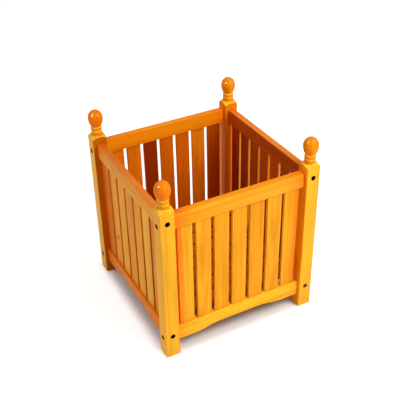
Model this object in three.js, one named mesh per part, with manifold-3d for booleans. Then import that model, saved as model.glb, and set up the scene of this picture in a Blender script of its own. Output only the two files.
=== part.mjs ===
// A square orangery planter in stained pine: four corner posts with turned finials,
// four panels of upright slats held between an upper and a lower rail, and a slatted floor.
// Millimetres, +Z up. The origin is the middle of the footprint on the ground, the front
// faces -Y and the right side faces +X.
import * as THREE from 'three';
import { mergeVertices } from 'three/addons/utils/BufferGeometryUtils.js';
import Module from 'manifold-3d';

const wasm = await Module();
wasm.setup();

// ---------------------------------------------------------------- driving dimensions
// General
const fit = 0.3; // clearance left between two pieces that seat on each other

// Slats of a panel
const slatCount = 7;
const slatWidth = 42;
const slatThickness = 8;
const slatGap = 10; // daylight between two slats
const slatEndGap = 11; // daylight between the outermost slat and the post
const slatShow = 314; // length seen between the rails
const slatArris = 1.2; // rounding of the long edges

// Rails of a panel
const railThickness = 20;
const topRailHeight = 42;
const bottomRailHeight = 45; // at its ends, where the lower edge is straight
const railArris = 2; // rounding of all the edges
const groundClearance = 40; // from the ground to the bottom rail's ends
const mortiseDepth = 10;
const archLanding = 56; // straight length of the lower edge next to each post
const archSweep = 66; // length of the reverse curve that lifts the lower edge
const archLift = 9.5; // height that the reverse curve gains
const archCrown = 0.5; // further height gained towards the middle

// Posts
const postSide = 40;
const postArris = 2;
const postFootChamfer = 1.5;
const postProud = 11.5; // height of the square corners above the top rail
const shoulderRise = 13; // height of the turned shoulder above the square corners
const shoulderWaist = 4; // how far the cove of the shoulder is drawn down at the neck
const shoulderBulge = 5.5; // how far the round of the shoulder is carried out at the corners

// Connector bolts
const boltHole = 7;
const boltHeadBore = 14;
const boltHeadDepth = 9;
const boltStagger = 5.5; // bolts along X lie this much lower, bolts along Y this much higher
const insertBore = 8; // bore in the rail's end for the threaded insert
const insertDepth = 32;

// Finials
const spigotDiameter = 12;
const spigotLength = 22;
const collarDiameter = 30;
const collarHeight = 1.2;
const lowerBeadDiameter = 30.6;
const lowerBeadHeight = 9.8;
const upperBeadDiameter = 30.6;
const upperBeadHeight = 11.6;
const quirkDiameter = 25.4; // the V grooves that part the beads
const neckDiameter = 25.8;
const ballDiameter = 40.6;
const ballLower = 24; // from the neck up to the widest place
const ballUpper = 23.2; // from the widest place up to the tip

// Floor
const boardWidth = 44;
const boardThickness = 8;
const boardGap = 8;
const boardArris = 1.2;
const boardEndGap = 1; // between a board's end and the side rail
const floorRise = 2; // top of the floor above the bottom rails' upper edge
const cleatWidth = 20;
const cleatHeight = 20;
const cleatArris = 1;
const cleatEndGap = 1; // between a cleat's end and the post

// Fineness of the curves
const roundSteps = 24; // facets round a finial
const boreSteps = 16; // facets round a bore
const arrisSteps = 2; // facets across a rounded edge, an even number
const beadSteps = 4; // facets over a bead
const ballSteps = 8; // facets from the neck to the tip of the ball
const shoulderSteps = 7; // facets down the shoulder
const archSteps = 8; // facets along each curve of the arch

// ---------------------------------------------------------------- derived places
const panelWidth = slatCount * slatWidth + (slatCount - 1) * slatGap + 2 * slatEndGap;
const slatPitch = slatWidth + slatGap;
const postCentre = (panelWidth + postSide) / 2;
const bottomRailTop = groundClearance + bottomRailHeight;
const topRailBottom = bottomRailTop + slatShow;
const topRailTop = topRailBottom + topRailHeight;
const cornerTop = topRailTop + postProud;
const finialSeat = cornerTop + shoulderRise;
const topBoltLevel = topRailBottom + topRailHeight / 2;
const bottomBoltLevel = groundClearance + bottomRailHeight / 2;
const railInnerFace = postCentre - railThickness / 2;
const floorTop = bottomRailTop + floorRise;
const overcut = 1; // how far a cutter stands out of the face that it cuts

// ---------------------------------------------------------------- finishes
const pineFront = { color: 0xe89a2c, roughness: 0.42, metalness: 0 };
const pineRail = { color: 0xe58f26, roughness: 0.42, metalness: 0 };
const pineTurned = { color: 0xe0801c, roughness: 0.34, metalness: 0 };
const pineInner = { color: 0xb9641a, roughness: 0.55, metalness: 0 };

// ---------------------------------------------------------------- solids
/** Turns a closed geometry into a solid that can be joined and cut. */
function solidOf(geometry) {
  const bare = geometry.clone();
  bare.deleteAttribute('normal');
  bare.deleteAttribute('uv');
  const merged = mergeVertices(bare);
  const mesh = new wasm.Mesh({
    numProp: 3,
    vertProperties: new Float32Array(merged.attributes.position.array),
    triVerts: new Uint32Array(merged.index.array),
  });
  return new wasm.Manifold(mesh);
}

/** Turns a solid back into a geometry with flat facets. */
function geometryOf(solid) {
  const mesh = solid.getMesh();
  const geometry = new THREE.BufferGeometry();
  geometry.setAttribute('position', new THREE.BufferAttribute(mesh.vertProperties, 3));
  geometry.setIndex(new THREE.BufferAttribute(mesh.triVerts, 1));
  geometry.computeVertexNormals();
  return geometry;
}

/** A rectangle with rounded corners, centred on its origin. */
function roundedRectangle(width, height, radius) {
  const x = width / 2 - radius;
  const y = height / 2 - radius;
  const shape = new THREE.Shape();
  shape.absarc(x, y, radius, 0, Math.PI / 2);
  shape.absarc(-x, y, radius, Math.PI / 2, Math.PI);
  shape.absarc(-x, -y, radius, Math.PI, 1.5 * Math.PI);
  shape.absarc(x, -y, radius, 1.5 * Math.PI, 2 * Math.PI);
  return shape;
}

/** A straight stick of rounded section that stands on its origin and runs up Z. */
function stick(width, thickness, length, arris) {
  return new THREE.ExtrudeGeometry(roundedRectangle(width, thickness, arris), {
    depth: length,
    bevelEnabled: false,
    curveSegments: arrisSteps / 2,
  });
}

/** A round cutter that runs along X from start to end at the given height. */
function boreAlongX(diameter, start, end, height) {
  const cutter = new THREE.CylinderGeometry(diameter / 2, diameter / 2, end - start, boreSteps);
  cutter.rotateZ(Math.PI / 2);
  cutter.translate((start + end) / 2, 0, height);
  return solidOf(cutter);
}

/** A solid of revolution about Z, from a profile of (radius, height) points. */
function turned(profile) {
  const lathe = new THREE.LatheGeometry(profile, roundSteps);
  lathe.rotateX(Math.PI / 2);
  return lathe;
}

// ---------------------------------------------------------------- posts
/** Half the section of the turned shoulder: a cove at the neck that runs out into a round. */
function shoulderProfile() {
  const neckRadius = collarDiameter / 2;
  const cornerRadius = postSide / Math.SQRT2 + overcut;
  const ogee = new THREE.CubicBezierCurve(
    new THREE.Vector2(cornerRadius, cornerTop),
    new THREE.Vector2(cornerRadius - shoulderBulge, finialSeat - shoulderWaist),
    new THREE.Vector2(neckRadius, finialSeat - shoulderWaist),
    new THREE.Vector2(neckRadius, finialSeat),
  );
  return [
    new THREE.Vector2(0, -overcut),
    new THREE.Vector2(cornerRadius, -overcut),
    ...ogee.getPoints(shoulderSteps),
    new THREE.Vector2(0, finialSeat),
  ];
}

/** The counterbored hole of one bolt, entered from the -X face of a post. */
function boltCutter(level) {
  const face = -postSide / 2;
  const head = boreAlongX(boltHeadBore, face - overcut, face + boltHeadDepth, level);
  const shank = boreAlongX(boltHole, face, -face + overcut, level);
  return head.add(shank);
}

/**
 * One corner post. Its two outer faces take the bolts: sideX and sideY are -1 or 1 and say
 * which way they face.
 */
function postGeometry(sideX, sideY) {
  const square = new THREE.ExtrudeGeometry(roundedRectangle(postSide, postSide, postArris), {
    depth: finialSeat + overcut - 2 * postFootChamfer,
    bevelThickness: postFootChamfer,
    bevelSize: postFootChamfer,
    bevelOffset: -postFootChamfer,
    bevelSegments: 1,
    curveSegments: arrisSteps / 2,
  });
  square.translate(0, 0, postFootChamfer);
  let post = solidOf(square).intersect(solidOf(turned(shoulderProfile())));
  const socket = new THREE.CylinderGeometry(
    spigotDiameter / 2 + fit, spigotDiameter / 2 + fit, spigotLength + fit + overcut, boreSteps);
  socket.rotateX(Math.PI / 2);
  socket.translate(0, 0, finialSeat - (spigotLength + fit - overcut) / 2);
  post = post.subtract(solidOf(socket));
  const faceX = sideX < 0 ? 0 : 180;
  const faceY = sideY < 0 ? 90 : -90;
  for (const level of [bottomBoltLevel, topBoltLevel]) {
    post = post.subtract(boltCutter(level - boltStagger).rotate([0, 0, faceX]));
    post = post.subtract(boltCutter(level + boltStagger).rotate([0, 0, faceY]));
  }
  return geometryOf(post);
}

// ---------------------------------------------------------------- finials
/** The points of one bead, from its lower to its upper quirk. */
function beadPoints(bottom, height, diameter) {
  const points = [];
  const quirk = quirkDiameter / 2;
  for (let i = 1; i < beadSteps; i += 1) {
    const angle = (Math.PI * i) / beadSteps;
    const radius = quirk + (diameter / 2 - quirk) * Math.sin(angle) ** 0.6;
    points.push(new THREE.Vector2(radius, bottom + (height * (1 - Math.cos(angle))) / 2));
  }
  points.push(new THREE.Vector2(quirk, bottom + height));
  return points;
}

/** The points of the egg shaped ball, from the neck to the tip on the axis. */
function ballPoints(bottom) {
  const radius = ballDiameter / 2;
  const neckRatio = neckDiameter / ballDiameter;
  const neckAngle = Math.acos(neckRatio);
  const lowerReach = ballLower / Math.sin(neckAngle);
  const widest = bottom + ballLower;
  const points = [];
  for (let i = 0; i < ballSteps; i += 1) {
    const angle = -neckAngle + ((neckAngle + Math.PI / 2) * i) / ballSteps;
    const reach = angle < 0 ? lowerReach : ballUpper;
    points.push(new THREE.Vector2(radius * Math.cos(angle), widest + reach * Math.sin(angle)));
  }
  points.push(new THREE.Vector2(0, widest + ballUpper));
  return points;
}

/** The turned finial: spigot, collar, two beads and the ball. Its seat is at height zero. */
function finialGeometry() {
  const spigot = spigotDiameter / 2;
  const upperBead = collarHeight + lowerBeadHeight;
  const neck = upperBead + upperBeadHeight;
  return turned([
    new THREE.Vector2(0, -spigotLength),
    new THREE.Vector2(spigot, -spigotLength),
    new THREE.Vector2(spigot, 0),
    new THREE.Vector2(collarDiameter / 2, 0),
    new THREE.Vector2(quirkDiameter / 2, collarHeight),
    ...beadPoints(collarHeight, lowerBeadHeight, lowerBeadDiameter),
    ...beadPoints(upperBead, upperBeadHeight, upperBeadDiameter),
    ...ballPoints(neck),
  ]);
}

// ---------------------------------------------------------------- panels
/** The middle of each slat of a panel, along the panel. */
function slatPlaces() {
  const places = [];
  for (let i = 0; i < slatCount; i += 1) {
    places.push((i - (slatCount - 1) / 2) * slatPitch);
  }
  return places;
}

/** A rail's outline, seen from the front, as an extrusion with all its edges rounded. */
function railBlank(outline) {
  const blank = new THREE.ExtrudeGeometry(outline, {
    depth: railThickness - 2 * railArris,
    bevelThickness: railArris,
    bevelSize: railArris,
    bevelOffset: -railArris,
    bevelSegments: arrisSteps,
    curveSegments: archSteps,
  });
  blank.translate(0, 0, railArris - railThickness / 2);
  blank.rotateX(Math.PI / 2);
  return solidOf(blank);
}

/** Cuts the slat mortises, open towards edge (1 up, -1 down), and the bores in both ends. */
function cutRail(rail, height, edge, boreLevel) {
  let cut = rail;
  const mouth = (edge * height) / 2;
  for (const place of slatPlaces()) {
    const mortise = stick(
      slatWidth + 2 * fit, slatThickness + 2 * fit, mortiseDepth + overcut, slatArris + fit);
    const floor = edge > 0 ? mouth - mortiseDepth : mouth - overcut;
    mortise.translate(place, 0, floor);
    cut = cut.subtract(solidOf(mortise));
  }
  const end = panelWidth / 2;
  for (const side of [-1, 1]) {
    const start = side < 0 ? -end - overcut : end - insertDepth;
    const stop = side < 0 ? -end + insertDepth : end + overcut;
    cut = cut.subtract(boreAlongX(insertBore, start, stop, boreLevel));
  }
  return geometryOf(cut);
}

/** The upper rail: a plain bar, with mortises in its lower edge. Centred on its origin. */
function topRailGeometry(boreLevel) {
  const length = panelWidth - 2 * fit;
  const outline = new THREE.Shape();
  outline.moveTo(-length / 2, -topRailHeight / 2);
  outline.lineTo(length / 2, -topRailHeight / 2);
  outline.lineTo(length / 2, topRailHeight / 2);
  outline.lineTo(-length / 2, topRailHeight / 2);
  return cutRail(railBlank(outline), topRailHeight, -1, boreLevel);
}

/** The lower rail: its lower edge lifts in a reverse curve to a shallow arch. */
function bottomRailGeometry(boreLevel) {
  const end = panelWidth / 2 - fit;
  const base = -bottomRailHeight / 2;
  const landing = panelWidth / 2 - archLanding;
  const spring = landing - archSweep;
  const bend = archSweep / 3;
  const shelf = base + archLift;
  const outline = new THREE.Shape();
  outline.moveTo(-end, base);
  outline.lineTo(-landing, base);
  outline.bezierCurveTo(-landing + bend, base, -spring - bend, shelf, -spring, shelf);
  outline.quadraticCurveTo(0, shelf + 2 * archCrown, spring, shelf);
  outline.bezierCurveTo(spring + bend, shelf, landing - bend, base, landing, base);
  outline.lineTo(end, base);
  outline.lineTo(end, -base);
  outline.lineTo(-end, -base);
  return cutRail(railBlank(outline), bottomRailHeight, 1, boreLevel);
}

/** One slat, standing on its origin. Both ends reach into the rails' mortises. */
function slatGeometry() {
  const length = slatShow + 2 * (mortiseDepth - fit);
  return stick(slatWidth, slatThickness, length, slatArris);
}

// ---------------------------------------------------------------- floor
/** One floor board, with its middle at the origin and running along X. */
function boardGeometry() {
  const length = 2 * (railInnerFace - boardEndGap);
  const board = stick(boardThickness, boardWidth, length, boardArris);
  board.translate(0, 0, -length / 2);
  board.rotateY(Math.PI / 2);
  return board;
}

/** One cleat, with its middle at the origin and running along Y. */
function cleatGeometry() {
  const length = panelWidth - 2 * cleatEndGap;
  const cleat = stick(cleatWidth, cleatHeight, length, cleatArris);
  cleat.translate(0, 0, -length / 2);
  cleat.rotateX(Math.PI / 2);
  return cleat;
}

// ---------------------------------------------------------------- assembly
/** A named piece in its own material. */
function piece(name, geometry, finish) {
  const mesh = new THREE.Mesh(geometry, new THREE.MeshStandardMaterial(finish));
  mesh.name = name;
  return mesh;
}

/** A post and its finial at one corner. */
function corner(name, sideX, sideY) {
  const group = new THREE.Group();
  group.add(piece(`post_${name}`, postGeometry(sideX, sideY), pineFront));
  const finial = piece(`finial_${name}`, finialGeometry(), pineTurned);
  finial.position.z = finialSeat + fit;
  group.add(finial);
  group.position.set(sideX * postCentre, sideY * postCentre, 0);
  return group;
}

/** One side of the planter: two rails and the slats between them, turned to face its side. */
function panel(name, quarterTurns, boreLevel) {
  const side = new THREE.Group();
  const topRail = piece(`top_rail_${name}`, topRailGeometry(boreLevel), pineRail);
  topRail.position.z = topBoltLevel;
  side.add(topRail);
  const bottomRail = piece(`bottom_rail_${name}`, bottomRailGeometry(boreLevel), pineRail);
  bottomRail.position.z = bottomBoltLevel;
  side.add(bottomRail);
  slatPlaces().forEach((place, index) => {
    const slat = piece(`slat_${name}_${index + 1}`, slatGeometry(), pineFront);
    slat.position.set(place, 0, bottomRailTop - mortiseDepth + fit);
    side.add(slat);
  });
  side.position.y = -postCentre;
  const turn = new THREE.Group();
  turn.add(side);
  turn.rotation.z = (quarterTurns * Math.PI) / 2;
  return turn;
}

/** The slatted floor on its two cleats. */
function floor() {
  const group = new THREE.Group();
  const boardPitch = boardWidth + boardGap;
  const boardCount = Math.floor((2 * railInnerFace + boardGap) / boardPitch);
  const boardLevel = floorTop - boardThickness / 2;
  for (let i = 0; i < boardCount; i += 1) {
    const board = piece(`floor_board_${i + 1}`, boardGeometry(), pineInner);
    board.position.set(0, (i - (boardCount - 1) / 2) * boardPitch, boardLevel);
    group.add(board);
  }
  const cleatLevel = floorTop - boardThickness - fit - cleatHeight / 2;
  for (const [name, side] of [['left', -1], ['right', 1]]) {
    const cleat = piece(`floor_cleat_${name}`, cleatGeometry(), pineInner);
    cleat.position.set(side * (railInnerFace - fit - cleatWidth / 2), 0, cleatLevel);
    group.add(cleat);
  }
  return group;
}

const planter = new THREE.Group();
planter.add(corner('front_left', -1, -1));
planter.add(corner('front_right', 1, -1));
planter.add(corner('back_left', -1, 1));
planter.add(corner('back_right', 1, 1));
planter.add(panel('front', 0, -boltStagger));
planter.add(panel('right', 1, boltStagger));
planter.add(panel('back', 2, -boltStagger));
planter.add(panel('left', 3, boltStagger));
planter.add(floor());

export default planter;
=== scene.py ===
"""Dresses the planter: varnished pine, turned corner posts and finials, bolts, screws, studio."""

import logging
import math
from dataclasses import dataclass, field
from enum import Enum

import bmesh
import bpy
from mathutils import Matrix, Vector


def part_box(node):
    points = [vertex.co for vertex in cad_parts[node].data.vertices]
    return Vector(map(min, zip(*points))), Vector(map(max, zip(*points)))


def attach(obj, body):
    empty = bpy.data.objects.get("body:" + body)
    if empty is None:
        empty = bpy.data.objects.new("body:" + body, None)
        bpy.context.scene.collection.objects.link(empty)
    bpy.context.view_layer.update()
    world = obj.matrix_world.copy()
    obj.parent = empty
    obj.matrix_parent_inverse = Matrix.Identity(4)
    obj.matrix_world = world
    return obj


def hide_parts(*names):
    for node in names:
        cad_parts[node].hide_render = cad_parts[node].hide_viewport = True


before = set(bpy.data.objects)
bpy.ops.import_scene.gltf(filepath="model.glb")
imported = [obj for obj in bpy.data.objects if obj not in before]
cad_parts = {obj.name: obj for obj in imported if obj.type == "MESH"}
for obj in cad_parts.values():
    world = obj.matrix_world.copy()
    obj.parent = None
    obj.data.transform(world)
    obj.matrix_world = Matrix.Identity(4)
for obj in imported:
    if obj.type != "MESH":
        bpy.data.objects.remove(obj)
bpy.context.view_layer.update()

log = logging.getLogger("planter")

Colour = tuple[float, float, float]
Point = tuple[float, float, float]
Socket = bpy.types.NodeSocket


def linear(red: int, green: int, blue: int) -> Colour:
    """Turns a display colour of 0 to 255 into the linear values that shaders take.

    Args:
        red: Red part.
        green: Green part.
        blue: Blue part.

    Returns:
        The three linear values.
    """
    parts = []
    for part in (red, green, blue):
        share = part / 255
        parts.append(share / 12.92 if share <= 0.04045 else ((share + 0.055) / 1.055) ** 2.4)
    return (parts[0], parts[1], parts[2])


class Grain(Enum):
    """The direction that a piece's grain runs in, as the turn that lays it along Z."""

    ALONG_X = (0.0, -math.pi / 2, 0.0)
    ALONG_Y = (math.pi / 2, 0.0, 0.0)
    ALONG_Z = (0.0, 0.0, 0.0)


class StainAndShade(Enum):
    """A colour that one face takes: the orange varnish, and for faces that look inward, sideways
    and up also painted shade and light.
    """

    STRAW = linear(254, 200, 46)
    HONEY = linear(253, 186, 44)
    AMBER = linear(252, 176, 40)
    MARIGOLD = linear(252, 167, 36)
    TANGERINE = linear(250, 150, 12)
    SAFFRON = linear(249, 142, 0)
    APRICOT = linear(247, 130, 0)
    COPPER = linear(240, 136, 14)
    # Painted light and shade: the colour that the side rails' top faces take.
    LIT_TOP = linear(237, 136, 44)
    RUSSET = linear(218, 112, 4)
    CHESTNUT = linear(186, 82, 0)
    MAHOGANY = linear(154, 52, 0)


class Graph:
    """A material's node tree, with short calls that add a node and link it."""

    def __init__(self, name: str) -> None:
        """Starts an empty material.

        Args:
            name: Name of the material.
        """
        self.material = bpy.data.materials.new(name)
        self.material.use_nodes = True
        self.tree = self.material.node_tree
        self.tree.nodes.clear()

    def node(self, kind: str, **settings: object) -> bpy.types.Node:
        """Adds a node.

        Args:
            kind: Type of the node.
            settings: Properties to set on it.

        Returns:
            The new node.
        """
        new = self.tree.nodes.new(kind)
        for key, value in settings.items():
            setattr(new, key, value)
        return new

    def feed(self, socket: Socket, value: object) -> None:
        """Links a socket to another one, or gives it a plain value.

        Args:
            socket: Input to fill.
            value: An output socket, a number or a row of numbers.
        """
        if isinstance(value, bpy.types.NodeSocket):
            self.tree.links.new(value, socket)
        else:
            socket.default_value = value

    def math(self, operation: str, *values: object, clamp: bool = False) -> Socket:
        """Adds a Math node.

        Args:
            operation: What it works out.
            values: Its inputs, in order.
            clamp: Whether the result stays between 0 and 1.

        Returns:
            Its output.
        """
        new = self.node("ShaderNodeMath", operation=operation, use_clamp=clamp)
        for socket, value in zip(new.inputs, values):
            self.feed(socket, value)
        return new.outputs[0]

    def vector(self, operation: str, *values: object) -> bpy.types.Node:
        """Adds a Vector Math node.

        Args:
            operation: What it works out.
            values: Its inputs, in order.

        Returns:
            The node, whose first output is a vector and whose second is a number.
        """
        new = self.node("ShaderNodeVectorMath", operation=operation)
        for socket, value in zip(new.inputs, values):
            self.feed(socket, value)
        return new

    def ramp(self, value: object, low: float, high: float, first: float = 0.0,
             last: float = 1.0) -> Socket:
        """Maps a value smoothly from one range to another.

        Args:
            value: The value to map.
            low: Where the range starts.
            high: Where the range ends.
            first: Result at the start.
            last: Result at the end.

        Returns:
            The mapped value.
        """
        new = self.node("ShaderNodeMapRange", interpolation_type="SMOOTHSTEP")
        for key, item in zip(("Value", "From Min", "From Max", "To Min", "To Max"),
                             (value, low, high, first, last)):
            self.feed(new.inputs[key], item)
        return new.outputs["Result"]

    def noise(self, place: Socket, scale: Point, detail: float, roughness: float = 0.5) -> Socket:
        """Adds a noise that is stretched by its three scales.

        Args:
            place: Coordinates in metres.
            scale: Cells per metre along the three axes.
            detail: Octaves.
            roughness: Strength of the finer octaves.

        Returns:
            The noise, from 0 to 1.
        """
        spread = self.vector("MULTIPLY", place, scale).outputs[0]
        new = self.node("ShaderNodeTexNoise")
        self.feed(new.inputs["Vector"], spread)
        self.feed(new.inputs["Scale"], 1.0)
        self.feed(new.inputs["Detail"], detail)
        self.feed(new.inputs["Roughness"], roughness)
        return new.outputs["Fac"]

    def mix(self, share: object, first: object, second: object, blend: str = "MIX") -> Socket:
        """Mixes two colours.

        Args:
            share: How much of the second colour shows.
            first: First colour.
            second: Second colour.
            blend: Blending mode.

        Returns:
            The mixed colour.
        """
        new = self.node("ShaderNodeMix", data_type="RGBA", blend_type=blend)
        for index, value in ((0, share), (6, first), (7, second)):
            if isinstance(value, tuple) and len(value) == 3:
                value = (*value, 1.0)
            self.feed(new.inputs[index], value)
        return new.outputs[2]

    def surface(self, shader: Socket) -> bpy.types.Material:
        """Ends the tree in a shader.

        Args:
            shader: Output of the shader.

        Returns:
            The finished material.
        """
        out = self.node("ShaderNodeOutputMaterial")
        self.feed(out.inputs["Surface"], shader)
        return self.material


@dataclass(frozen=True)
class Knot:
    """A small knot in the face of a board."""

    place: Point
    radius: float = 0.0075


@dataclass(frozen=True)
class PostShade:
    """Painted shade, dark and red, beside the posts, at the low and the high end of a panel."""

    axis: int
    start: float
    end: float
    low: float
    high: float
    tint: Colour = (1.0, 0.6, 0.45)


@dataclass(frozen=True)
class Coat:
    """The colour of a piece on each of its faces: its stain, with painted shade on the inward
    faces and painted light and shade on the edges and the tops.
    """

    outer: StainAndShade
    inner: StainAndShade
    edge: StainAndShade
    top: StainAndShade
    outward: Point


@dataclass(frozen=True)
class VarnishedPine:
    """Planed softwood with growth rings and fibres, under an orange tinted varnish."""

    rings_per_metre: float = 190.0
    ring_strength: float = 0.5
    fibre_strength: float = 0.38
    late_wood: Colour = (0.88, 0.68, 0.44)
    band_strength: float = 0.5
    band: Colour = (1.0, 0.76, 0.5)
    # Colour of the painted shade at the ends of a piece, where it runs into a joint.
    joint_shade: Colour = (0.86, 0.7, 0.55)
    gloss_roughness: float = 0.42
    gloss_level: float = 0.07
    gloss_tint: Colour = (1.0, 0.6, 0.2)
    coat_weight: float = 0.03
    coat_roughness: float = 0.2
    bore_shade: Colour = (0.3, 0.16, 0.1)

    def material(self, name: str, box: tuple[Point, Point], grain: Grain, coat: Coat,
                 seed: int, knots: tuple[Knot, ...] = (), visible: float = 0.0,
                 shift: float = 0.0, bored: Point = (0.0, 0.0, 0.0),
                 post_shade: PostShade | None = None) -> bpy.types.Material:
        """Makes the material of one piece.

        Args:
            name: Name of the piece.
            box: Lowest and highest corner of the piece, in metres.
            grain: Direction of its grain.
            coat: The colour of each of its faces, with painted shade and light on the inward,
                edge and top faces.
            seed: Number that sets this piece's own figure.
            knots: Knots in its face.
            visible: Half the length that shows between two joints, or 0 for all of it. Near each
                joint the piece takes painted shade.
            shift: How much darker (below 0) or lighter (above 0) the piece is.
            bored: Half the width, half the depth and the height of the part of the piece whose
            bores take painted shade, or zeros where there are none.
            post_shade: Painted shade, dark and red, beside the posts, if there is any.

        Returns:
            The material.
        """
        graph = Graph(f"pine_{name}")
        centre = (Vector(box[0]) + Vector(box[1])) / 2
        coords = graph.node("ShaderNodeTexCoord")
        local = graph.vector("SUBTRACT", coords.outputs["Object"], tuple(centre)).outputs[0]
        turn = graph.node("ShaderNodeMapping", vector_type="POINT")
        graph.feed(turn.inputs["Vector"], local)
        graph.feed(turn.inputs["Rotation"], grain.value)
        place = turn.outputs[0]
        offset = (seed * 0.731 % 7, seed * 1.237 % 11, seed * 0.419 % 5)
        own = graph.vector("ADD", place, offset).outputs[0]

        late = self._rings(graph, place, own, seed, coords.outputs["Object"], knots)
        fibre = graph.noise(own, (950.0, 950.0, 22.0), 3.0, 0.62)
        streak = graph.noise(own, (160.0, 160.0, 5.0), 2.0)
        cloud = graph.noise(own, (26.0, 26.0, 5.0), 2.0)
        heart = graph.noise(own, (58.0, 58.0, 1.6), 1.0)

        colour = self._stains_light_and_shade(graph, coords, coat)
        red = graph.ramp(heart, 0.42, 0.62, 0.0, self.band_strength)
        colour = graph.mix(red, colour, graph.mix(1.0, colour, self.band, "MULTIPLY"))
        figure = graph.math("MULTIPLY", late, self.ring_strength)
        figure = graph.math("ADD", figure, graph.math(
            "MULTIPLY", graph.ramp(fibre, 0.35, 0.75), self.fibre_strength * 0.5))
        figure = graph.math("ADD", figure, graph.math(
            "MULTIPLY", graph.ramp(streak, 0.4, 0.7), self.fibre_strength), clamp=True)
        colour = graph.mix(figure, colour, graph.mix(1.0, colour, self.late_wood, "MULTIPLY"))
        bright = graph.ramp(cloud, 0.25, 0.75, 0.9 + shift, 1.08 + shift)
        shade = graph.vector("SCALE", colour)
        graph.feed(shade.inputs["Scale"], bright)
        colour = shade.outputs[0]
        colour = self._knots(graph, colour, coords.outputs["Object"], coat, knots)
        # Painted shade: the last 14 mm before each joint darken, where the slat runs into the
        # rail.
        if visible:
            ends = graph.math("ABSOLUTE", self._axis(graph, place, 2))
            near = graph.ramp(ends, visible - 0.014, visible, 0.0, 0.4)
            colour = graph.mix(near, colour, graph.mix(1.0, colour, self.joint_shade, "MULTIPLY"))
        # Painted shade, dark and red, beside the posts.
        if post_shade:
            colour = self._post_shade(graph, colour, coords.outputs["Object"], post_shade)
        if bored[0]:
            colour = self._bores(graph, colour, coords.outputs["Object"], centre, bored)
        return self._shader(graph, colour, late, fibre, streak)

    def _post_shade(self, graph: Graph, colour: Socket, world: Socket, post_shade: PostShade) -> Socket:
        """Paints dark red shade on the two ends of a panel, next to its posts.

        Args:
            graph: The material's graph.
            colour: The colour so far.
            world: Coordinates of the whole object.
            post_shade: Where the painted shade lies and how strong it is.

        Returns:
            The colour with the painted shade at the ends.
        """
        along = self._axis(graph, world, post_shade.axis)
        high = graph.ramp(along, post_shade.start, post_shade.end, 0.0, post_shade.high)
        low = graph.ramp(along, -post_shade.end, -post_shade.start, post_shade.low, 0.0)
        share = graph.math("MAXIMUM", high, low)
        return graph.mix(share, colour, graph.mix(1.0, colour, post_shade.tint, "MULTIPLY"))

    def _bores(self, graph: Graph, colour: Socket, world: Socket, centre: Vector,
               bored: Point) -> Socket:
        """Paints shade on the inside of the bores, which lies deeper than the faces.

        Args:
            graph: The material's graph.
            colour: The colour so far.
            world: Coordinates of the whole object.
            centre: Middle of the piece.
            bored: Half the width and depth of the bored part, and its height.

        Returns:
            The colour with the painted shade in the bores.
        """
        local = graph.vector("SUBTRACT", world, (centre.x, centre.y, 0.0)).outputs[0]
        aside = graph.vector("ABSOLUTE", local).outputs[0]
        gap_x = graph.math("SUBTRACT", bored[0], self._axis(graph, aside, 0))
        gap_y = graph.math("SUBTRACT", bored[1], self._axis(graph, aside, 1))
        deep = graph.ramp(graph.math("MINIMUM", gap_x, gap_y), 0.0006, 0.0016)
        below = graph.ramp(self._axis(graph, local, 2), bored[2] - 0.002, bored[2], 1.0, 0.0)
        share = graph.math("MULTIPLY", deep, below)
        return graph.mix(share, colour, graph.mix(1.0, colour, self.bore_shade, "MULTIPLY"))

    @staticmethod
    def _axis(graph: Graph, vector: Socket, index: int) -> Socket:
        """Takes one coordinate out of a vector.

        Args:
            graph: The material's graph.
            vector: The vector.
            index: 0 for X, 1 for Y, 2 for Z.

        Returns:
            The coordinate.
        """
        parts = graph.node("ShaderNodeSeparateXYZ")
        graph.feed(parts.inputs[0], vector)
        return parts.outputs[index]

    def _rings(self, graph: Graph, place: Socket, own: Socket, seed: int, world: Socket,
               knots: tuple[Knot, ...]) -> Socket:
        """Cuts the piece out of a log whose rings lean and wander a little.

        Args:
            graph: The material's graph.
            place: Coordinates with the grain along Z, from the piece's centre.
            own: The same, moved to this piece's own part of the noise.
            seed: Number that places the heart of the log.
            world: Coordinates of the whole object.
            knots: Knots that the rings bend around.

        Returns:
            The late wood, from 0 to 1.
        """
        angle = seed * 2.399
        reach = 0.035 + 0.012 * (seed % 5)
        heart = (reach * math.cos(angle), reach * math.sin(angle), 0.0)
        wander = graph.noise(own, (9.0, 9.0, 2.2), 2.0)
        flat = graph.vector("MULTIPLY", place, (1.0, 1.0, 0.0)).outputs[0]
        spoke = graph.vector("LENGTH", graph.vector("ADD", flat, heart).outputs[0])
        radius = graph.math("ADD", spoke.outputs["Value"], graph.math("MULTIPLY", wander, 0.016))
        lean = 0.012 if seed % 2 else -0.02
        radius = graph.math("ADD", radius, graph.math(
            "MULTIPLY", self._axis(graph, place, 2), lean))
        for knot in knots:
            gap = graph.vector("DISTANCE", world, knot.place).outputs["Value"]
            bulge = graph.ramp(gap, 0.0, knot.radius * 4, knot.radius * 1.6, 0.0)
            radius = graph.math("ADD", radius, bulge)
        count = graph.math("MULTIPLY", radius, self.rings_per_metre)
        phase = graph.math("FRACT", count)
        rise = graph.ramp(phase, 0.25, 0.86)
        fall = graph.ramp(phase, 0.88, 1.0, 1.0, 0.0)
        return graph.math("MULTIPLY", rise, fall)

    def _stains_light_and_shade(self, graph: Graph, coords: bpy.types.Node, coat: Coat) -> Socket:
        """Picks the colour by the way that the face looks: inward, edge and top faces take their
        own colours, which paint shade and light.

        Args:
            graph: The material's graph.
            coords: Its Texture Coordinate node.
            coat: The colour of each face.

        Returns:
            The colour.
        """
        normal = coords.outputs["Normal"]
        facing = graph.vector("DOT_PRODUCT", normal, coat.outward).outputs["Value"]
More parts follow.
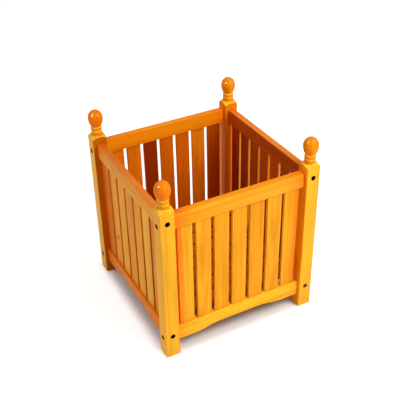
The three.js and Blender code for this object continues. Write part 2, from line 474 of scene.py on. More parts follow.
        # Painted shade and light: faces that look inward take the inner colour, faces turned
        # sideways the edge colour.
        colour = graph.mix(graph.ramp(facing, -0.75, -0.25), coat.inner.value, coat.edge.value)
        colour = graph.mix(graph.ramp(facing, 0.25, 0.75), colour, coat.outer.value)
        # Painted light and shade: faces that look up take the top colour.
        rise = graph.vector("DOT_PRODUCT", normal, (0.0, 0.0, 1.0)).outputs["Value"]
        return graph.mix(graph.ramp(rise, 0.45, 0.85), colour, coat.top.value)

    @staticmethod
    def _knots(graph: Graph, colour: Socket, world: Socket, coat: Coat,
               knots: tuple[Knot, ...]) -> Socket:
        """Darkens the colour in the knots.

        Args:
            graph: The material's graph.
            colour: The colour so far.
            world: Coordinates of the whole object.
            coat: The colour of the piece, for the way that it faces. Not used.
            knots: The knots.

        Returns:
            The colour with the knots.
        """
        for knot in knots:
            gap = graph.vector("DISTANCE", world, knot.place).outputs["Value"]
            inside = graph.ramp(gap, knot.radius * 0.35, knot.radius * 1.15, 0.9, 0.0)
            colour = graph.mix(inside, colour, graph.mix(
                1.0, colour, (0.42, 0.26, 0.24), "MULTIPLY"))
        return colour

    def _shader(self, graph: Graph, colour: Socket, late: Socket, fibre: Socket,
                streak: Socket) -> bpy.types.Material:
        """Ends the material in its gloss and its relief.

        Args:
            graph: The material's graph.
            colour: The base colour.
            late: The late wood, which stands slightly proud.
            fibre: The fibres, which show through the varnish.
            streak: Broader streaks in the gloss.

        Returns:
            The material.
        """
        shader = graph.node("ShaderNodeBsdfPrincipled")
        graph.feed(shader.inputs["Base Color"], colour)
        rough = graph.ramp(streak, 0.3, 0.7, self.gloss_roughness, self.gloss_roughness + 0.12)
        graph.feed(shader.inputs["Roughness"], rough)
        graph.feed(shader.inputs["Specular IOR Level"], self.gloss_level)
        graph.feed(shader.inputs["Specular Tint"], (*self.gloss_tint, 1.0))
        graph.feed(shader.inputs["Coat Weight"], self.coat_weight)
        graph.feed(shader.inputs["Coat Roughness"], self.coat_roughness)
        height = graph.math("ADD", graph.math("MULTIPLY", late, 0.5), fibre)
        bump = graph.node("ShaderNodeBump")
        graph.feed(bump.inputs["Strength"], 0.35)
        graph.feed(bump.inputs["Distance"], 0.00012)
        graph.feed(bump.inputs["Height"], height)
        graph.feed(shader.inputs["Normal"], bump.outputs[0])
        return graph.surface(shader.outputs[0])


@dataclass(frozen=True)
class TurnedPine(VarnishedPine):
    """The same wood off the lathe: the ball is deep in colour, and pale bands at the quirks are
    painted highlights.
    """

    ring_strength: float = 0.25
    fibre_strength: float = 0.25
    band_strength: float = 0.2
    gloss_level: float = 0.0
    coat_weight: float = 0.17
    coat_roughness: float = 0.1
    neck: float = 0.4892
    quirks: tuple[float, ...] = (0.4768, 0.4882)
    quirk_reach: float = 0.0026

    def _stains_light_and_shade(self, graph: Graph, coords: bpy.types.Node, coat: Coat) -> Socket:
        """Stains the ball and the beads apart and paints a pale highlight band at each quirk.

        Args:
            graph: The material's graph.
            coords: Its Texture Coordinate node.
            coat: The ball's stain is the outer one, the beads' the edge one, and the painted
                highlight at the quirks the top one.

        Returns:
            The colour.
        """
        height = self._axis(graph, coords.outputs["Object"], 2)
        above = graph.ramp(height, self.neck, self.neck + 0.0012)
        colour = graph.mix(above, coat.edge.value, coat.outer.value)
        # Painted highlight: a pale band at each quirk height.
        for quirk in self.quirks:
            gap = graph.math("ABSOLUTE", graph.math("SUBTRACT", height, quirk))
            pale = graph.ramp(gap, self.quirk_reach * 0.3, self.quirk_reach, 0.9, 0.0)
            colour = graph.mix(pale, colour, coat.top.value)
        return colour


@dataclass(frozen=True)
class BlackPlastic:
    """Moulded black plastic of the caps over the bolts, finely grained."""

    colour: Colour = linear(1, 1, 1)
    dusty: Colour = linear(7, 7, 7)

    def material(self, name: str) -> bpy.types.Material:
        """Makes the material.

        Args:
            name: Name of the material.

        Returns:
            The material.
        """
        graph = Graph(name)
        coords = graph.node("ShaderNodeTexCoord").outputs["Object"]
        grain = graph.noise(coords, (1400.0, 1400.0, 1400.0), 3.0, 0.6)
        dust = graph.noise(coords, (260.0, 260.0, 260.0), 3.0)
        shader = graph.node("ShaderNodeBsdfPrincipled")
        colour = graph.mix(graph.ramp(dust, 0.5, 0.8), self.colour, self.dusty)
        graph.feed(shader.inputs["Base Color"], colour)
        graph.feed(shader.inputs["Roughness"], graph.ramp(grain, 0.3, 0.7, 0.6, 0.75))
        graph.feed(shader.inputs["Specular IOR Level"], 0.0)
        bump = graph.node("ShaderNodeBump")
        graph.feed(bump.inputs["Strength"], 0.25)
        graph.feed(bump.inputs["Distance"], 0.0001)
        graph.feed(bump.inputs["Height"], grain)
        graph.feed(shader.inputs["Normal"], bump.outputs[0])
        return graph.surface(shader.outputs[0])


@dataclass(frozen=True)
class BronzedSteel:
    """Steel of the bolts and screws, browned, with turning marks and a little rubbing."""

    colour: Colour = linear(52, 32, 20)
    rubbed: Colour = linear(110, 78, 50)

    def material(self, name: str) -> bpy.types.Material:
        """Makes the material.

        Args:
            name: Name of the material.

        Returns:
            The material.
        """
        graph = Graph(name)
        coords = graph.node("ShaderNodeTexCoord").outputs["Object"]
        worn = graph.noise(coords, (420.0, 420.0, 420.0), 4.0, 0.7)
        colour = graph.mix(graph.ramp(worn, 0.5, 0.72), self.colour, self.rubbed)
        shader = graph.node("ShaderNodeBsdfPrincipled")
        graph.feed(shader.inputs["Base Color"], colour)
        graph.feed(shader.inputs["Metallic"], 0.85)
        graph.feed(shader.inputs["Roughness"], graph.ramp(worn, 0.3, 0.8, 0.34, 0.55))
        bump = graph.node("ShaderNodeBump")
        graph.feed(bump.inputs["Strength"], 0.3)
        graph.feed(bump.inputs["Distance"], 0.0001)
        graph.feed(bump.inputs["Height"], worn)
        graph.feed(shader.inputs["Normal"], bump.outputs[0])
        return graph.surface(shader.outputs[0])


class Bench:
    """Calls that turn a bmesh into a finished piece of the planter."""

    @staticmethod
    def piece(name: str, mesh: bmesh.types.BMesh, smooth: float = 30.0) -> bpy.types.Object:
        """Makes an object of a bmesh, with edges sharper than an angle kept sharp.

        Args:
            name: Name of the piece.
            mesh: Its mesh, in the planter's frame, in metres. It is freed.
            smooth: Angle in degrees above which an edge stays sharp.

        Returns:
            The object.
        """
        bmesh.ops.remove_doubles(mesh, verts=mesh.verts, dist=1e-6)
        bmesh.ops.recalc_face_normals(mesh, faces=mesh.faces)
        data = bpy.data.meshes.new(name)
        mesh.to_mesh(data)
        mesh.free()
        data.shade_smooth()
        data.set_sharp_from_angle(angle=math.radians(smooth))
        thing = bpy.data.objects.new(name, data)
        bpy.context.scene.collection.objects.link(thing)
        return thing

    @staticmethod
    def lathe(profile: list[tuple[float, float]], steps: int) -> bmesh.types.BMesh:
        """Turns a profile about Z.

        Args:
            profile: Radius and height of each point. It starts and ends on the axis.
            steps: Facets round the turn.

        Returns:
            The turned mesh.
        """
        mesh = bmesh.new()
        points = [mesh.verts.new((radius, 0.0, height)) for radius, height in profile]
        edges = [mesh.edges.new(pair) for pair in zip(points, points[1:])]
        bmesh.ops.spin(mesh, geom=points + edges, cent=(0, 0, 0), axis=(0, 0, 1),
                       angle=2 * math.pi, steps=steps, use_merge=True)
        bmesh.ops.remove_doubles(mesh, verts=mesh.verts, dist=1e-6)
        bmesh.ops.recalc_face_normals(mesh, faces=mesh.faces)
        return mesh

    @staticmethod
    def carve(base: bpy.types.Object, cutter: bpy.types.Object, operation: str) -> None:
        """Cuts one object with another, which is used up.

        Args:
            base: The object that is cut.
            cutter: The cutter.
            operation: DIFFERENCE or INTERSECT.
        """
        modifier = base.modifiers.new("cut", "BOOLEAN")
        modifier.object = cutter
        modifier.operation = operation
        modifier.solver = "EXACT"
        graph = bpy.context.evaluated_depsgraph_get()
        data = bpy.data.meshes.new_from_object(base.evaluated_get(graph))
        base.modifiers.clear()
        base.data = data
        bpy.data.objects.remove(cutter)

    @staticmethod
    def finish(thing: bpy.types.Object, material: bpy.types.Material, slot: str,
               *nodes: str) -> None:
        """Dresses a piece and fixes it to the planter.

        Args:
            thing: The piece.
            material: Its material.
            slot: Slot of the record that it takes its finish from. Not used.
            nodes: CAD nodes that it stands for.
        """
        thing.data.materials.clear()
        thing.data.materials.append(material)
        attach(thing, "root")
        if nodes:
            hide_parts(*nodes)
        log.info("%s: %d faces", thing.name, len(thing.data.polygons))

    @staticmethod
    def dress(node: str, material: bpy.types.Material) -> None:
        """Gives a CAD node a better material.

        Args:
            node: Name of the node.
            material: Its new material.
        """
        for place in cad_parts[node].material_slots:
            place.material = material
        log.info("%s: dressed", node)


@dataclass
class CornerPost:
    """A square post with a turned shoulder, its finial and the four bolts that enter it."""

    name: str
    side_x: int
    side_y: int
    seed: int
    side: float = 0.040
    arris: float = 0.002
    centre: float = 0.208
    corner_top: float = 0.4525
    shoulder_rise: float = 0.013
    shoulder_waist: float = 0.004
    shoulder_bulge: float = 0.0055
    collar_radius: float = 0.0150
    head_bore_radius: float = 0.0070
    head_bore_depth: float = 0.009
    shank_bore_radius: float = 0.0035
    bolt_levels: tuple[float, float] = (0.0625, 0.420)
    bolt_stagger: float = 0.0055
    inner: StainAndShade = StainAndShade.COPPER
    ball: StainAndShade = StainAndShade.APRICOT
    shift: float = 0.0
    pine: VarnishedPine = field(default_factory=lambda: VarnishedPine(
        ring_strength=0.26, fibre_strength=0.26, band_strength=0.3))

    @property
    def seat(self) -> float:
        """Height of the finial's seat."""
        return self.corner_top + self.shoulder_rise

    def _place(self) -> Matrix:
        """The post's place in the planter."""
        return Matrix.Translation((self.side_x * self.centre, self.side_y * self.centre, 0))

    def _bolt_turn(self, along_x: bool) -> Matrix:
        """Turns something that enters from the -Z side to enter from an outer face.

        Args:
            along_x: True for the face that looks along X, false for the one along Y.

        Returns:
            The turn.
        """
        if along_x:
            return Matrix.Rotation(math.radians(-90 * self.side_x), 4, "Y")
        return Matrix.Rotation(math.radians(90 * self.side_y), 4, "X")

    def bolt_places(self) -> list[tuple[str, Matrix]]:
        """Lists the bolts.

        Returns:
            A name and a matrix for each bolt. The matrix puts the origin on the outer face of
            the post and -Z straight out of it.
        """
        places = []
        for level_name, level in zip(("lower", "upper"), self.bolt_levels):
            for along_x, axis in ((True, "x"), (False, "y")):
                height = level - self.bolt_stagger if along_x else level + self.bolt_stagger
                out = self.side / 2
                shift = ((self.side_x * out, 0, height) if along_x
                         else (0, self.side_y * out, height))
                matrix = self._place() @ Matrix.Translation(shift) @ self._bolt_turn(along_x)
                places.append((f"{self.name}_{level_name}_{axis}", matrix))
        return places

    def _shoulder(self) -> bpy.types.Object:
        """Builds the turned form that cuts the shoulder.

        Returns:
            The cutter.
        """
        corner = self.side / math.sqrt(2) + 0.001
        waist = self.seat - self.shoulder_waist
        ends = ((corner, self.corner_top), (corner - self.shoulder_bulge, waist),
                (self.collar_radius, waist), (self.collar_radius, self.seat))
        profile = [(0.0, -0.01), (corner, -0.01)]
        steps = 22
        for i in range(steps + 1):
            t = i / steps
            shares = ((1 - t) ** 3, 3 * t * (1 - t) ** 2, 3 * t * t * (1 - t), t ** 3)
            profile.append(tuple(sum(s * e[k] for s, e in zip(shares, ends)) for k in (0, 1)))
        profile.append((0.0, self.seat))
        mesh = Bench.lathe(profile, 96)
        mesh.transform(self._place())
        return Bench.piece("shoulder_cutter", mesh)

    def build(self) -> bpy.types.Object:
        """Builds the post.

        Returns:
            The post, shaped and bored.
        """
        mesh = bmesh.new()
        bmesh.ops.create_cube(mesh, size=1.0)
        bmesh.ops.scale(mesh, vec=(self.side, self.side, 0.5), verts=mesh.verts)
        bmesh.ops.translate(mesh, vec=(0, 0, 0.25), verts=mesh.verts)
        upright = [e for e in mesh.edges if abs(e.verts[0].co.z - e.verts[1].co.z) > 0.1]
        bmesh.ops.bevel(mesh, geom=upright, offset=self.arris, offset_type="OFFSET", segments=4,
                        profile=0.5, affect="EDGES", material=-1)
        foot = [e for e in mesh.edges if max(v.co.z for v in e.verts) < 1e-6]
        bmesh.ops.bevel(mesh, geom=foot, offset=0.0015, offset_type="OFFSET", segments=2,
                        profile=0.5, affect="EDGES", material=-1)
        mesh.transform(self._place())
        post = Bench.piece(f"turned_post_{self.name}", mesh)
        Bench.carve(post, self._shoulder(), "INTERSECT")
        for _, matrix in self.bolt_places():
            profile = [(0.0, -0.002), (self.head_bore_radius, -0.002),
                       (self.head_bore_radius, self.head_bore_depth),
                       (self.shank_bore_radius, self.head_bore_depth),
                       (self.shank_bore_radius, self.side + 0.002), (0.0, self.side + 0.002)]
            bore = Bench.lathe(profile, 40)
            bore.transform(matrix)
            Bench.carve(post, Bench.piece("bore_cutter", bore), "DIFFERENCE")
        data = post.data
        data.shade_smooth()
        data.set_sharp_from_angle(angle=math.radians(30))
        return post

    def assemble(self) -> None:
        """Builds, dresses and places the post."""
        node = f"post_{self.name}"
        post = self.build()
        outward = (self.side_x * math.sqrt(0.5), self.side_y * math.sqrt(0.5), 0.0)
        # Faces that look inward take the inner colour, painted shade, and the shoulder's upward
        # surfaces the palest, painted light.
        coat = Coat(StainAndShade.HONEY, self.inner, self.inner, StainAndShade.STRAW, outward)
        bored = (self.side / 2, self.side / 2, self.corner_top - 0.004)
        material = self.pine.material(node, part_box(node), Grain.ALONG_Z, coat, self.seed,
                                      shift=self.shift, bored=bored)
        Bench.finish(post, material, "pine_front", node)


@dataclass
class TurnedFinial:
    """An egg shaped ball over two beads, turned in one piece with its spigot."""

    name: str
    place: tuple[float, float]
    seed: int
    ball: StainAndShade = StainAndShade.APRICOT
    seat: float = 0.4658
    spigot_radius: float = 0.006
    spigot_length: float = 0.022
    collar_radius: float = 0.0150
    collar_height: float = 0.0012
    quirk_radius: float = 0.0127
    lower_bead: tuple[float, float] = (0.0098, 0.0153)
    upper_bead: tuple[float, float] = (0.0116, 0.0153)
    ball_radius: float = 0.02029
    neck_radius: float = 0.0129
    ball_lower: float = 0.0240
    ball_upper: float = 0.0232
    pine: TurnedPine = field(default_factory=TurnedPine)

    def _bead(self, bottom: float, size: tuple[float, float]) -> list[tuple[float, float]]:
        """Lists the points of one bead.

        Args:
            bottom: Height where it starts.
            size: Its height and its radius.

        Returns:
            Radius and height of each point.
        """
        height, radius = size
        points = []
        for i in range(1, 13):
            angle = math.pi * i / 13
            swell = math.sin(angle) ** 0.6
            points.append((self.quirk_radius + (radius - self.quirk_radius) * swell,
                           bottom + height * (1 - math.cos(angle)) / 2))
        points.append((self.quirk_radius, bottom + height))
        return points

    def _ball(self, bottom: float) -> list[tuple[float, float]]:
        """Lists the points of the ball.

        Args:
            bottom: Height of the neck.

        Returns:
            Radius and height of each point, up to the tip.
        """
        start = math.acos(self.neck_radius / self.ball_radius)
        reach = self.ball_lower / math.sin(start)
        widest = bottom + self.ball_lower
        steps = 40
        points = []
        for i in range(steps):
            angle = -start + (start + math.pi / 2) * i / steps
            height = reach if angle < 0 else self.ball_upper
            points.append((self.ball_radius * math.cos(angle), widest + height * math.sin(angle)))
        points.append((0.0, widest + self.ball_upper))
        return points

    def build(self) -> bpy.types.Object:
        """Turns the finial.

        Returns:
            The finial.
        """
        upper = self.collar_height + self.lower_bead[0]
        profile = [(0.0, -self.spigot_length), (self.spigot_radius, -self.spigot_length),
                   (self.spigot_radius, 0.0), (self.collar_radius, 0.0),
                   (self.quirk_radius, self.collar_height)]
        profile += self._bead(self.collar_height, self.lower_bead)
        profile += self._bead(upper, self.upper_bead)
        profile += self._ball(upper + self.upper_bead[0])
        mesh = Bench.lathe(profile, 72)
        mesh.transform(Matrix.Translation((*self.place, self.seat)))
        return Bench.piece(f"turned_finial_{self.name}", mesh, 38.0)

    def assemble(self) -> None:
        """Builds, dresses and places the finial."""
        node = f"finial_{self.name}"
        # The beads take their own colour, and the palest colour is the painted highlight at the
        # quirks.
        coat = Coat(self.ball, self.ball, StainAndShade.TANGERINE, StainAndShade.STRAW, (0.0, 0.0, 1.0))
        material = self.pine.material(node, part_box(node), Grain.ALONG_Z, coat, self.seed)
        Bench.finish(self.build(), material, "pine_turned", node)


@dataclass
class SlatPanel:
    """One side of the planter: two rails and the slats between them."""

    name: str
    outward: Point
    outer: tuple[StainAndShade, ...]
    inner: tuple[StainAndShade, ...]
    edge: StainAndShade
    rail_outer: tuple[StainAndShade, StainAndShade]
    rail_inner: StainAndShade
    rail_tops: tuple[StainAndShade, StainAndShade]
    seed: int
    # Strength of the painted shade beside the posts, at the low and the high end.
    post_shade: tuple[float, float] = (0.5, 0.5)
    shifts: tuple[float, ...] = (0.0,) * 7
    rail_shift: float = 0.0
    knots: dict[int, Knot] = field(default_factory=dict)
    slat_half: float = 0.157
    slat_post_shade: tuple[float, float] = (0.154, 0.177)
    rail_post_shade: tuple[float, float] = (0.120, 0.190)
    pine: VarnishedPine = field(default_factory=VarnishedPine)
    rail_pine: VarnishedPine = field(default_factory=lambda: VarnishedPine(
        ring_strength=0.34, fibre_strength=0.3, band_strength=0.65))

    @property
    def grain(self) -> Grain:
        """Direction of the rails' grain."""
        return Grain.ALONG_X if self.outward[0] == 0 else Grain.ALONG_Y

    def assemble(self) -> None:
        """Dresses the slats and the rails."""
        axis = 0 if self.grain is Grain.ALONG_X else 1
        for index in range(7):
            node = f"slat_{self.name}_{index + 1}"
            coat = Coat(self.outer[index], self.inner[index], self.edge, self.edge, self.outward)
            knot = (self.knots[index],) if index in self.knots else ()
            # Painted shade, dark and red, on the two end slats beside the posts.
            post_shade = PostShade(axis, *self.slat_post_shade, *self.post_shade) if index in (0, 6) else None
            Bench.dress(node, self.pine.material(
                node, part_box(node), Grain.ALONG_Z, coat, self.seed + index, knot,
                self.slat_half, self.shifts[index], post_shade=post_shade))
        for index, kind in enumerate(("top_rail", "bottom_rail")):
            node = f"{kind}_{self.name}"
            outer = self.rail_outer[index]
            coat = Coat(outer, self.rail_inner, outer, self.rail_tops[index], self.outward)
            # The rails take the same painted shade beside the posts, weaker on the bottom rail.
            share = 0.85 if kind == "top_rail" else 0.4
            post_shade = PostShade(axis, *self.rail_post_shade, *(share * red for red in self.post_shade))
            Bench.dress(node, self.rail_pine.material(
                node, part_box(node), self.grain, coat, self.seed + 20 + index,
                shift=self.rail_shift, post_shade=post_shade))


@dataclass
class FloorDeck:
    """The slatted floor on its cleats, with its screws."""

    board_count: int = 7
    board_pitch: float = 0.052
    board_top: float = 0.087
    cleat_x: float = 0.1877
    head_radius: float = 0.0036
    pine: VarnishedPine = field(default_factory=lambda: VarnishedPine(
        gloss_roughness=0.55, coat_weight=0.05))
    steel: BronzedSteel = field(default_factory=BronzedSteel)

    def _screw(self, name: str, matrix: Matrix, material: bpy.types.Material) -> None:
        """Makes a countersunk screw with a cross recess. Its head looks along +Z.

        Args:
            name: Name of the screw.
            matrix: Its place.
            material: Its material.
        """
        radius = self.head_radius
        profile = [(0.0, -0.02), (0.0004, -0.0195), (0.0016, -0.016), (0.0016, -0.003),
                   (radius, -0.0002), (radius * 0.96, 0.0002), (radius * 0.5, 0.00038),
                   (0.0, 0.00042)]
        mesh = Bench.lathe(profile, 24)
        screw = Bench.piece(name, mesh)
        for angle in (0, 90):
            cross = bmesh.new()
            bmesh.ops.create_cube(cross, size=1.0)
            bmesh.ops.scale(cross, vec=(radius * 1.15, 0.0009, 0.003), verts=cross.verts)
            cross.transform(Matrix.Rotation(math.radians(angle), 4, "Z"))
            Bench.carve(screw, Bench.piece("cross_cutter", cross), "DIFFERENCE")
        screw.data.transform(matrix)
        Bench.finish(screw, material, "pine_inner")

    def assemble(self) -> None:
        """Dresses the boards and cleats and puts in the screws."""
        # The sides of the boards and cleats take a darker colour than their tops: painted shade.
        coat = Coat(StainAndShade.RUSSET, StainAndShade.RUSSET, StainAndShade.RUSSET, StainAndShade.COPPER, (0.0, 0.0, 1.0))
        for index in range(self.board_count):
            node = f"floor_board_{index + 1}"
            Bench.dress(node, self.pine.material(
                node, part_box(node), Grain.ALONG_X, coat, 140 + index))
        steel = self.steel.material("browned_screws")
        for side, name in ((-1, "left"), (1, "right")):
            node = f"floor_cleat_{name}"
            Bench.dress(node, self.pine.material(
                node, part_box(node), Grain.ALONG_Y, coat, 150 + side))
            for index in range(self.board_count):
                y = (index - (self.board_count - 1) / 2) * self.board_pitch
                matrix = Matrix.Translation((side * self.cleat_x, y, self.board_top))
                self._screw(f"board_screw_{name}_{index + 1}", matrix, steel)
            for index, y in enumerate((-0.13, 0.0, 0.13)):
                face = Matrix.Translation((side * (self.cleat_x - 0.01), y, 0.0687))
                turn = Matrix.Rotation(math.radians(-90 * side), 4, "Y")
                self._screw(f"cleat_screw_{name}_{index + 1}", face @ turn, steel)


@dataclass
class ConnectorBolts:
    """The bolts that hold the rails to the posts, with their threaded inserts."""

    posts: tuple[CornerPost, ...]
    head_radius: float = 0.0056
    head_height: float = 0.0032
    shank_radius: float = 0.003
    shank_length: float = 0.052
    socket_radius: float = 0.0023
    insert_radius: float = 0.0039
    insert_length: float = 0.015
    cap_radius: float = 0.00697
    cap_sink: float = 0.0001
    cap_skirt: float = 0.0045
    uncapped: str = "front_right_lower_y"
    steel: BronzedSteel = field(default_factory=BronzedSteel)
    plastic: BlackPlastic = field(default_factory=BlackPlastic)

    def _bolt(self, name: str, matrix: Matrix, depth: float,
              material: bpy.types.Material) -> None:
        """Makes one bolt with a low round head and a six-sided socket.

        Args:
            name: Name of the bolt.
            matrix: Puts the origin on the post's face, with -Z out of it.
            depth: Depth of the counterbore.
            material: Its material.
        """
        top = depth - self.head_height
        rim = 0.0007
        profile = [(0.0, top)]
        for i in range(7):
            angle = math.pi / 2 * i / 6
            profile.append((self.head_radius - rim * (1 - math.sin(angle)),
                            top + rim * (1 - math.cos(angle))))
        profile += [(self.head_radius, depth), (self.shank_radius, depth),
                    (self.shank_radius, depth + self.shank_length - 0.0008),
                    (self.shank_radius - 0.0008, depth + self.shank_length),
                    (0.0, depth + self.shank_length)]
        bolt = Bench.piece(name, Bench.lathe(profile, 36))
        socket = bmesh.new()
        bmesh.ops.create_cone(socket, cap_ends=True, segments=6, radius1=self.socket_radius,
                              radius2=self.socket_radius, depth=0.0044)
        bmesh.ops.translate(socket, vec=(0, 0, top), verts=socket.verts)
        Bench.carve(bolt, Bench.piece("socket_cutter", socket), "DIFFERENCE")
        bolt.data.transform(matrix)
        Bench.finish(bolt, material, "pine_turned")

    def _insert(self, name: str, matrix: Matrix, start: float,
                material: bpy.types.Material) -> None:
        """Makes one threaded insert, hidden in the end of a rail.

        Args:
            name: Name of the insert.
            matrix: Puts the origin on the post's face, with -Z out of it.
            start: Depth at which the rail begins.
            material: Its material.
        """
        bore = self.shank_radius + 0.0001
        profile = []
        turns = 6
        for i in range(turns):
            z = start + 0.001 + self.insert_length * i / turns
            profile += [(self.insert_radius - 0.0004, z), (self.insert_radius, z + 0.0012)]
        profile.append((self.insert_radius - 0.0004, start + 0.001 + self.insert_length))
        outline = [(bore, profile[0][1])] + profile + [(bore, profile[-1][1])]
        mesh = Bench.lathe(outline + [outline[0]], 24)
        mesh.transform(matrix)
        Bench.finish(Bench.piece(name, mesh), material, "pine_turned")

    def _cap(self, name: str, matrix: Matrix, material: bpy.types.Material) -> None:
        """Makes the cap that closes a counterbore, a shallow dome with a skirt.

        Args:
            name: Name of the cap.
            matrix: Puts the origin on the post's face, with -Z out of it.
            material: Its material.
        """
        rise = 0.0003
        wall = 0.0009
        outer = []
        for i in range(9):
            angle = math.pi / 2 * i / 8
            outer.append((self.cap_radius * math.sin(angle),
                          self.cap_sink + rise * (1 - math.cos(angle))))
        foot = self.cap_sink + rise + self.cap_skirt
        inner = [(self.cap_radius - 0.0003, foot), (self.cap_radius - wall, foot),
                 (self.cap_radius - wall, self.cap_sink + rise + wall),
                 (0.0, self.cap_sink + rise + wall)]
        mesh = Bench.lathe(outer + inner, 40)
        mesh.transform(matrix)
        Bench.finish(Bench.piece(name, mesh), material, "pine_turned")

    def assemble(self) -> None:
        """Makes the bolts, inserts and caps of every post."""
        steel = self.steel.material("browned_bolts")
        plastic = self.plastic.material("black_caps")
        for post in self.posts:
            for name, matrix in post.bolt_places():
                self._bolt(f"bolt_{name}", matrix, post.head_bore_depth, steel)
                self._insert(f"insert_{name}", matrix, post.side, steel)
                if name != self.uncapped:
                    self._cap(f"cap_{name}", matrix, plastic)


@dataclass(frozen=True)
class Softbox:
    """A rectangular lamp that looks at the planter, from a direction and a reach in metres."""

    name: str
    direction: Point
    reach: float
    size: tuple[float, float]
    power: float
    gloss_only: bool = False


@dataclass
class Studio:
    """A pale floor with a painted shadow under the planter, two soft lamps, two lamps for the
    gloss alone, and the camera.
    """

    lens: float = 67.4292
    azimuth: float = -27.63
    elevation: float = 33.519
    roll: float = -1.164
    distance: float = 2.160
    target: Point = (0.031, 0.062, 0.250)
    lamps: tuple[Softbox, ...] = (
        Softbox("key_softbox", (0.31, -0.66, 0.66), 2.5, (1.1, 1.9), 52.0),
        Softbox("side_softbox", (-0.72, 0.24, 0.5), 2.6, (0.3, 0.42), 14.0),
        Softbox("left_card", (-0.768, -0.014, 0.638), 2.6, (0.8, 1.1), 225.0, True),
        Softbox("right_card", (0.445, -0.636, 0.63), 2.6, (1.1, 1.7), 80.0, True),
    )
    aim_height: float = 0.3
    floor_size: float = 12.0
    floor_drop: float = 0.0006
    fill: float = 0.355
    glow: float = 0.6
    shade_inner: float = 0.205
    shade_outer: float = 0.25
    # Colour of the painted shadow under the planter.
    under: Colour = (0.42, 0.34, 0.26)
    under_inner: float = 0.17
    under_outer: float = 0.21

    def _camera(self) -> None:
        """Puts up the camera at the photograph's viewing angle."""
        turn = math.radians(self.azimuth)
        rise = math.radians(self.elevation)
        back = Vector((math.sin(turn) * math.cos(rise), -math.cos(turn) * math.cos(rise),
                       math.sin(rise)))
        data = bpy.data.cameras.new("camera")
        data.lens = self.lens
        data.sensor_width = 36.0
        data.sensor_height = 36.0
        data.clip_end = 60.0
        camera = bpy.data.objects.new("camera", data)
        aim = back.to_track_quat("Z", "Y").to_matrix().to_4x4()
        roll = Matrix.Rotation(math.radians(self.roll), 4, "Z")
        place = Matrix.Translation(Vector(self.target) + back * self.distance)
        camera.matrix_world = place @ aim @ roll
        bpy.context.scene.collection.objects.link(camera)
        bpy.context.scene.camera = camera

    def _lamp(self, box: Softbox) -> None:
        """Hangs a lamp.

        Args:
            box: The lamp.
        """
        data = bpy.data.lights.new(box.name, "AREA")
        data.shape = "RECTANGLE"
        data.size, data.size_y = box.size
        data.energy = box.power
        lamp = bpy.data.objects.new(box.name, data)
        away = Vector(box.direction).normalized()
        aim = away.to_track_quat("Z", "Y").to_matrix().to_4x4()
        place = Matrix.Translation(Vector((0, 0, self.aim_height)) + away * box.reach)
        lamp.matrix_world = place @ aim
        lamp.visible_diffuse = not box.gloss_only
        bpy.context.scene.collection.objects.link(lamp)

    def _world(self) -> None:
        """Fills the room with soft light and shows white behind everything."""
        world = bpy.data.worlds.new("studio")
        bpy.context.scene.world = world
        world.use_nodes = True
        tree = world.node_tree
        tree.nodes.clear()
        path = tree.nodes.new("ShaderNodeLightPath")
        level = tree.nodes.new("ShaderNodeMapRange")
        level.inputs["To Min"].default_value = self.fill
        level.inputs["To Max"].default_value = 1.0
        ground = tree.nodes.new("ShaderNodeBackground")
        out = tree.nodes.new("ShaderNodeOutputWorld")
        seen = path.outputs["Is Camera Ray"]
        for name in ("Is Glossy Ray", "Is Transmission Ray"):
            either = tree.nodes.new("ShaderNodeMath")
            either.operation = "MAXIMUM"
            tree.links.new(seen, either.inputs[0])
            tree.links.new(path.outputs[name], either.inputs[1])
            seen = either.outputs[0]
        tree.links.new(seen, level.inputs["Value"])
        tree.links.new(level.outputs["Result"], ground.inputs["Strength"])
        tree.links.new(ground.outputs[0], out.inputs["Surface"])
        ground.inputs["Color"].default_value = (1.0, 1.0, 1.0, 1.0)

    def _floor(self) -> None:
        """Lays the pale floor.

        Its own colour is painted darker under the planter, a painted shadow, and away from the
        planter it also glows for the camera, so only the shadow close to the planter keeps its
        full depth.
        """
        mesh = bmesh.new()
        bmesh.ops.create_grid(mesh, x_segments=2, y_segments=2, size=self.floor_size)
        bmesh.ops.translate(mesh, vec=(0, 0, -self.floor_drop), verts=mesh.verts)
        ground = Bench.piece("studio_floor", mesh)
        graph = Graph("pale_floor")
        path = graph.node("ShaderNodeLightPath")
        seen = graph.math("MAXIMUM", path.outputs["Is Camera Ray"], path.outputs["Is Glossy Ray"])
        seen = graph.math("MAXIMUM", seen, path.outputs["Is Transmission Ray"])
        coords = graph.node("ShaderNodeTexCoord").outputs["Object"]
        mottle = graph.noise(coords, (3.0, 3.0, 3.0), 2.0)
        paper = graph.mix(mottle, (0.86, 0.86, 0.86), (0.88, 0.88, 0.88))
        flat = graph.vector("ABSOLUTE", coords).outputs[0]
        parts = graph.node("ShaderNodeSeparateXYZ")
        graph.feed(parts.inputs[0], flat)
        reach = graph.math("MAXIMUM", parts.outputs[0], parts.outputs[1])
        matt = graph.node("ShaderNodeBsdfDiffuse")
        # Painted shadow: the floor's own colour darkens under the planter.
        graph.feed(matt.inputs["Color"], graph.mix(
            graph.ramp(reach, self.under_inner, self.under_outer), self.under, paper))
        white = graph.ramp(reach, self.shade_inner, self.shade_outer, 0.0, self.glow)
        glow = graph.node("ShaderNodeEmission")
        graph.feed(glow.inputs["Strength"], graph.math("MULTIPLY", seen, white))
        both = graph.node("ShaderNodeAddShader")
        graph.feed(both.inputs[0], matt.outputs[0])
        graph.feed(both.inputs[1], glow.outputs[0])
        ground.data.materials.append(graph.surface(both.outputs[0]))

    def assemble(self) -> None:
        """Sets up the studio."""
        self._camera()
        self._world()
        self._floor()
        for box in self.lamps:
            self._lamp(box)
        bpy.context.scene.view_settings.view_transform = "Standard"


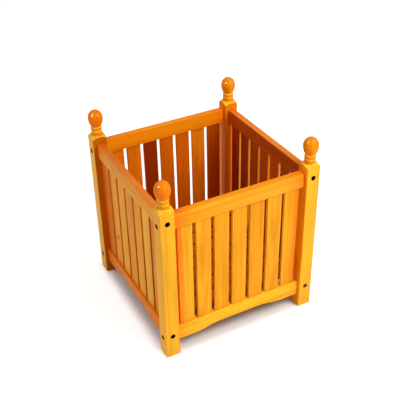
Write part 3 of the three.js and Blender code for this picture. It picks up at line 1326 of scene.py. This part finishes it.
def corner_posts() -> tuple[CornerPost, ...]:
    """Lists the four posts.

    Returns:
        The posts.
    """
    return (
        CornerPost("front_left", -1, -1, 3),
        CornerPost("front_right", 1, -1, 8, inner=StainAndShade.TANGERINE, ball=StainAndShade.SAFFRON,
                   shift=0.03),
        CornerPost("back_left", -1, 1, 14, inner=StainAndShade.RUSSET, shift=-0.08),
        CornerPost("back_right", 1, 1, 21, ball=StainAndShade.SAFFRON),
    )


def slat_panels() -> tuple[SlatPanel, ...]:
    """Lists the four panels.

    Returns:
        The panels.
    """
    # Inner faces take darker colours than outer ones: painted shade inside the planter. The
    # rails' top faces take colours of their own, painted light and shade.
    plain = (StainAndShade.AMBER,) * 7
    front = (StainAndShade.HONEY,) + plain[:3] + (StainAndShade.MARIGOLD,) + plain[5:]
    # The left side's colours, and its darker shifts below, add painted shade for the weaker light
    # on that side to the slats' own tones.
    left_tones_and_shade = ((StainAndShade.COPPER, StainAndShade.AMBER, StainAndShade.HONEY) + plain[:2]
                 + (StainAndShade.HONEY, StainAndShade.TANGERINE))
    dark = (StainAndShade.CHESTNUT,) * 7
    deep = dark[:5] + (StainAndShade.MAHOGANY,) * 2
    lively = (StainAndShade.CHESTNUT, StainAndShade.COPPER, StainAndShade.RUSSET, StainAndShade.RUSSET, StainAndShade.MAHOGANY,
              StainAndShade.COPPER, StainAndShade.COPPER)
    knot = Knot((-0.212, 0.103, 0.178))
    return (
        # The front slats' edges take the palest colour, painted light in the gaps between them,
        # and the front bottom rail's top takes it as a painted highlight.
        SlatPanel("front", (0.0, -1.0, 0.0), front, dark, StainAndShade.STRAW,
                  (StainAndShade.AMBER, StainAndShade.STRAW), StainAndShade.RUSSET, (StainAndShade.TANGERINE, StainAndShade.STRAW), 31,
                  (1.0, 0.85)),
        SlatPanel("right", (1.0, 0.0, 0.0), plain, deep, StainAndShade.AMBER,
                  (StainAndShade.AMBER, StainAndShade.AMBER), StainAndShade.CHESTNUT, (StainAndShade.LIT_TOP, StainAndShade.AMBER), 52,
                  shifts=(0.0, 0.0, 0.08, -0.02, -0.12, 0.0, 0.15)),
        SlatPanel("back", (0.0, 1.0, 0.0), plain, lively, StainAndShade.COPPER,
                  (StainAndShade.AMBER, StainAndShade.AMBER), StainAndShade.TANGERINE, (StainAndShade.TANGERINE, StainAndShade.AMBER),
                  73, (0.0, 0.5)),
        SlatPanel("left", (-1.0, 0.0, 0.0), left_tones_and_shade, dark, StainAndShade.RUSSET,
                  (StainAndShade.AMBER, StainAndShade.SAFFRON), StainAndShade.RUSSET, (StainAndShade.LIT_TOP, StainAndShade.TANGERINE),
                  94, (0.0, 1.0), (-0.08, -0.05, -0.02, -0.1, 0.0, 0.0, -0.1), -0.07,
                  knots={1: knot}),
    )


def main() -> None:
    """Builds every part of the scene in order."""
    logging.basicConfig(level=logging.INFO, format="%(name)s %(message)s")
    Studio().assemble()
    posts = corner_posts()
    for post in posts:
        post.assemble()
        place = (post.side_x * post.centre, post.side_y * post.centre)
        TurnedFinial(post.name, place, post.seed + 170, post.ball).assemble()
    for panel in slat_panels():
        panel.assemble()
    FloorDeck().assemble()
    ConnectorBolts(posts).assemble()


if __name__ == "__main__":
    main()
